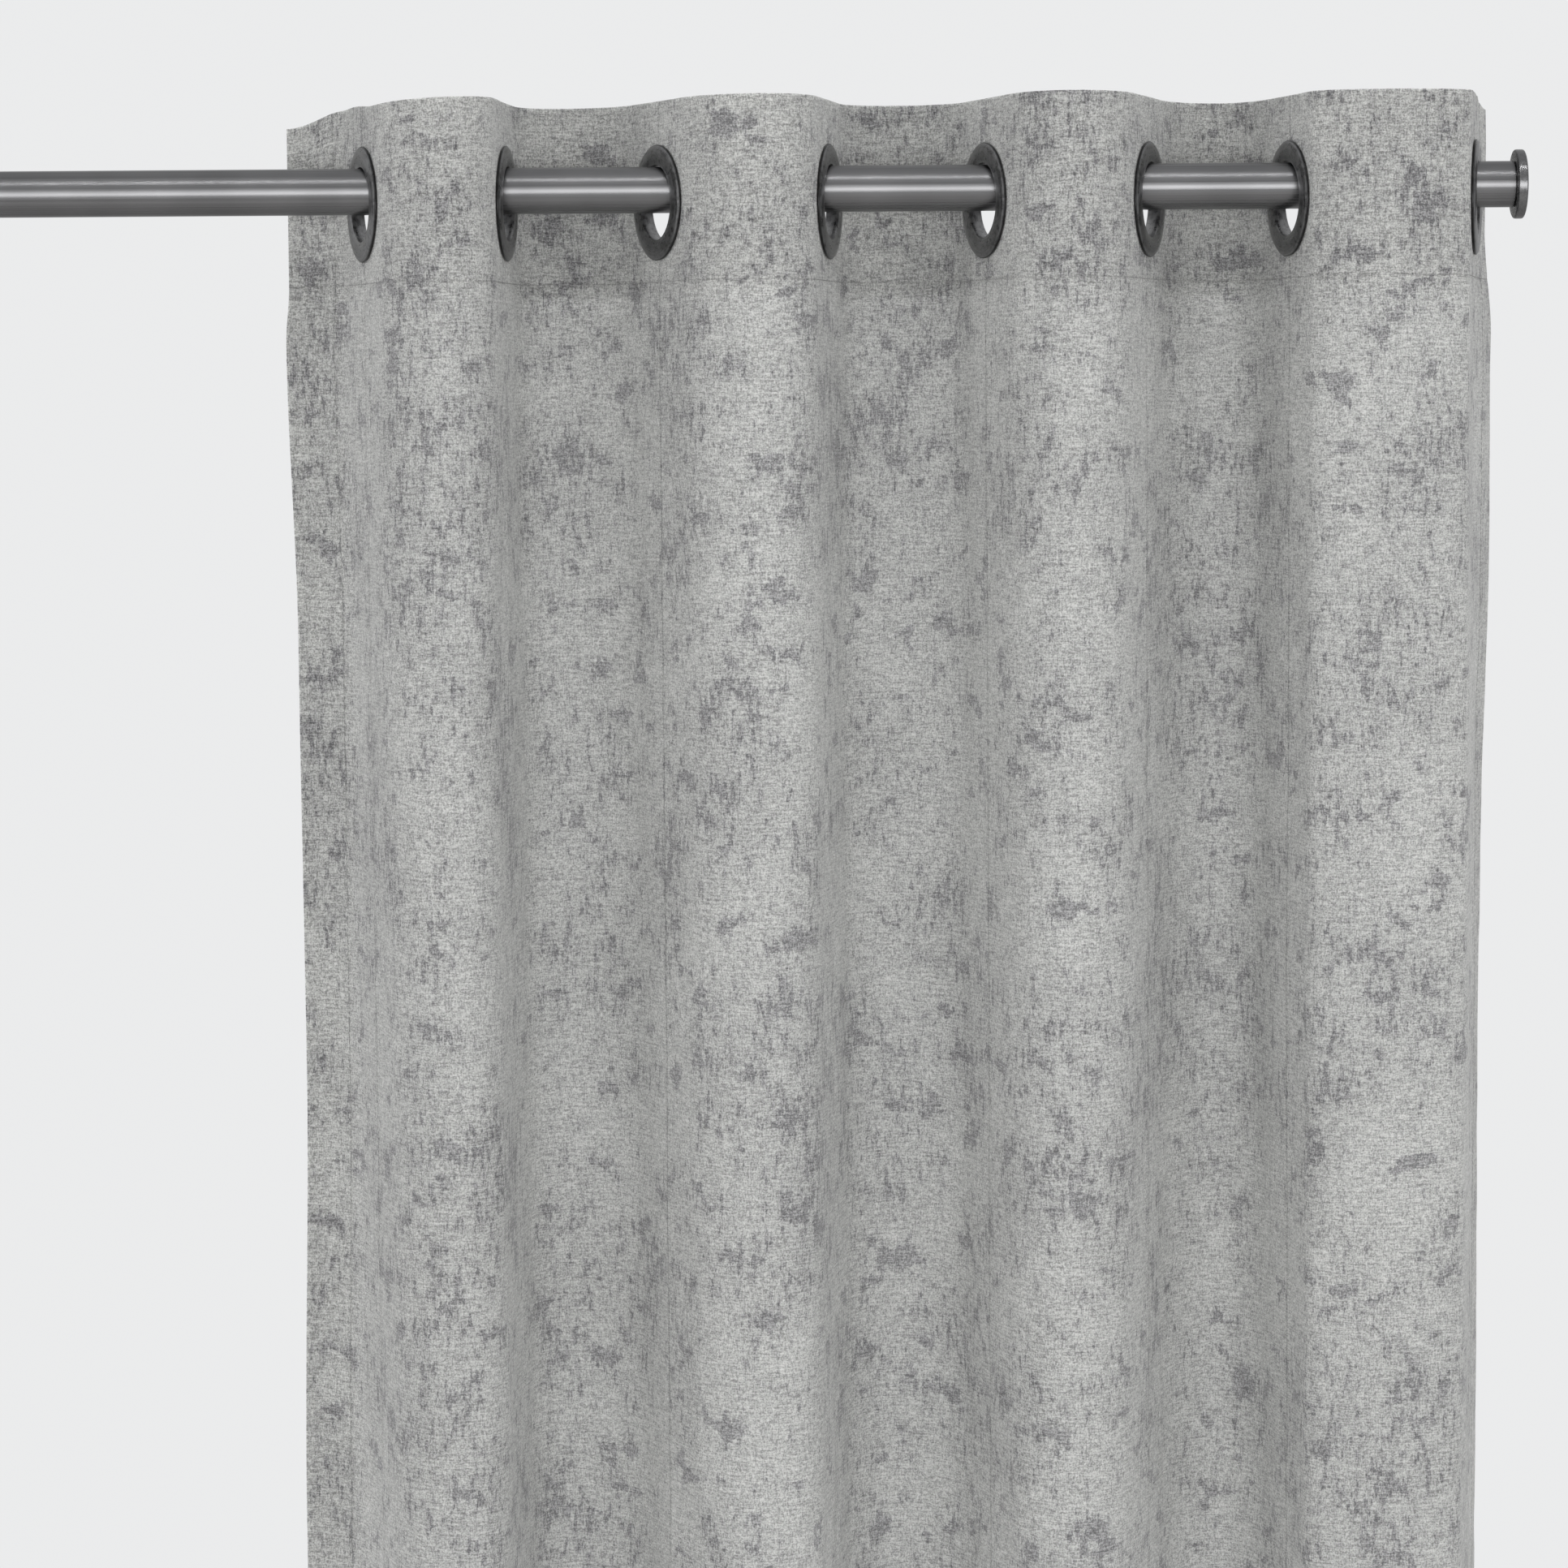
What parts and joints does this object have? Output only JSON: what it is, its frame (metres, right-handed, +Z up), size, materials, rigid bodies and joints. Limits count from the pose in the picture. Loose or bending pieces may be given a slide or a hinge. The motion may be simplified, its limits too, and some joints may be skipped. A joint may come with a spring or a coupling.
{
  "type": "grommet curtain panel",
  "caption": "Grommet-top fabric curtain panel, finished with a stiffened header and hems, hung in soft folds on a round metal rod with end caps and wall brackets.",
  "frame": {"origin": "centre of the right wall plate's back face, which is on the wall", "axes": "+X to the right along the rod, -Y out into the room, +Z up"},
  "size_m": [0.9256, 0.1811, 2.134],
  "materials": {
    "cloth": "matte slubbed linen-look weave with a mottled grey print",
    "tape": "stiff woven header tape",
    "label": "plain woven satin label",
    "grommet_metal": "dark gunmetal, satin",
    "rod_metal": "dark pewter, brushed",
    "bracket_metal": "dark pewter, satin",
    "screw_metal": "satin"
  },
  "bodies": {
    "rail": {"rod_tube": "rod_metal", "bracket_right": "bracket_metal", "bracket_left": "bracket_metal", "wall_screw_right_upper": "screw_metal", "wall_screw_right_lower": "screw_metal", "wall_screw_left_upper": "screw_metal", "wall_screw_left_lower": "screw_metal"},
    "set_screw_right": {"set_screw_right": "screw_metal"},
    "set_screw_left": {"set_screw_left": "screw_metal"},
    "end_cap_right": {"end_cap_right": "rod_metal"},
    "end_cap_left": {"end_cap_left": "rod_metal"},
    "grommet_8": {"grommet_front_8": "grommet_metal", "grommet_back_8": "grommet_metal", "cloth_8": "cloth", "tape_8": "tape"},
    "grommet_7": {"grommet_front_7": "grommet_metal", "grommet_back_7": "grommet_metal", "cloth_7": "cloth", "tape_7": "tape", "fold_7": "cloth", "fold_tape_7": "tape"},
    "grommet_6": {"grommet_front_6": "grommet_metal", "grommet_back_6": "grommet_metal", "cloth_6": "cloth", "tape_6": "tape", "fold_6": "cloth", "fold_tape_6": "tape"},
    "grommet_5": {"grommet_front_5": "grommet_metal", "grommet_back_5": "grommet_metal", "cloth_5": "cloth", "tape_5": "tape", "fold_5": "cloth", "fold_tape_5": "tape"},
    "grommet_4": {"grommet_front_4": "grommet_metal", "grommet_back_4": "grommet_metal", "cloth_4": "cloth", "tape_4": "tape", "fold_4": "cloth", "fold_tape_4": "tape"},
    "grommet_3": {"grommet_front_3": "grommet_metal", "grommet_back_3": "grommet_metal", "cloth_3": "cloth", "tape_3": "tape", "fold_3": "cloth", "fold_tape_3": "tape"},
    "grommet_2": {"grommet_front_2": "grommet_metal", "grommet_back_2": "grommet_metal", "cloth_2": "cloth", "tape_2": "tape", "fold_2": "cloth", "fold_tape_2": "tape"},
    "grommet_1": {"grommet_front_1": "grommet_metal", "grommet_back_1": "grommet_metal", "cloth_1": "cloth", "tape_1": "tape", "fold_1": "cloth", "fold_tape_1": "tape", "care_label": "label"}
  },
  "joints": [
    {"name": "grommet_8_slide", "type": "slide", "parent": "rail", "child": "grommet_8", "axis": [1, 0, 0], "range_m": [-0.022, 0.004]},
    {"name": "pleat_7_slide", "type": "slide", "parent": "grommet_8", "child": "grommet_7", "axis": [1, 0, 0], "range_m": [-0.0084, 0.0149], "deforming": ["fold_7", "fold_tape_7"]},
    {"name": "pleat_6_slide", "type": "slide", "parent": "grommet_7", "child": "grommet_6", "axis": [1, 0, 0], "range_m": [-0.022, 0.04], "deforming": ["fold_6", "fold_tape_6"]},
    {"name": "pleat_5_slide", "type": "slide", "parent": "grommet_6", "child": "grommet_5", "axis": [1, 0, 0], "range_m": [-0.0243, 0.0437], "deforming": ["fold_5", "fold_tape_5"]},
    {"name": "pleat_4_slide", "type": "slide", "parent": "grommet_5", "child": "grommet_4", "axis": [1, 0, 0], "range_m": [-0.0249, 0.0449], "deforming": ["fold_4", "fold_tape_4"]},
    {"name": "pleat_3_slide", "type": "slide", "parent": "grommet_4", "child": "grommet_3", "axis": [1, 0, 0], "range_m": [-0.0253, 0.0456], "deforming": ["fold_3", "fold_tape_3"]},
    {"name": "pleat_2_slide", "type": "slide", "parent": "grommet_3", "child": "grommet_2", "axis": [1, 0, 0], "range_m": [-0.0243, 0.0438], "deforming": ["fold_2", "fold_tape_2"]},
    {"name": "pleat_1_slide", "type": "slide", "parent": "grommet_2", "child": "grommet_1", "axis": [1, 0, 0], "range_m": [-0.021, 0.0379], "deforming": ["fold_1", "fold_tape_1"]},
    {"name": "end_cap_right_pull", "type": "slide", "parent": "rail", "child": "end_cap_right", "axis": [1, 0, 0], "range_m": [0, 0.024]},
    {"name": "end_cap_left_pull", "type": "slide", "parent": "rail", "child": "end_cap_left", "axis": [-1, 0, 0], "range_m": [0, 0.024]},
    {"name": "set_screw_right_turn", "type": "hinge", "parent": "rail", "child": "set_screw_right", "pos_m": [0, -0.089, -0.02], "axis": [0, 0, 1], "range_deg": [-180, 0]},
    {"name": "set_screw_left_turn", "type": "hinge", "parent": "rail", "child": "set_screw_left", "pos_m": [-0.81, -0.089, -0.02], "axis": [0, 0, 1], "range_deg": [-180, 0]}
  ],
  "couplings": [
    {"joint": "pleat_7_slide", "follows": "pleat_6_slide", "ratio": 0.36},
    {"joint": "pleat_5_slide", "follows": "pleat_6_slide", "ratio": 1.081},
    {"joint": "pleat_4_slide", "follows": "pleat_6_slide", "ratio": 1.11},
    {"joint": "pleat_3_slide", "follows": "pleat_6_slide", "ratio": 1.128},
    {"joint": "pleat_2_slide", "follows": "pleat_6_slide", "ratio": 1.083},
    {"joint": "pleat_1_slide", "follows": "pleat_6_slide", "ratio": 0.934}
  ]
}
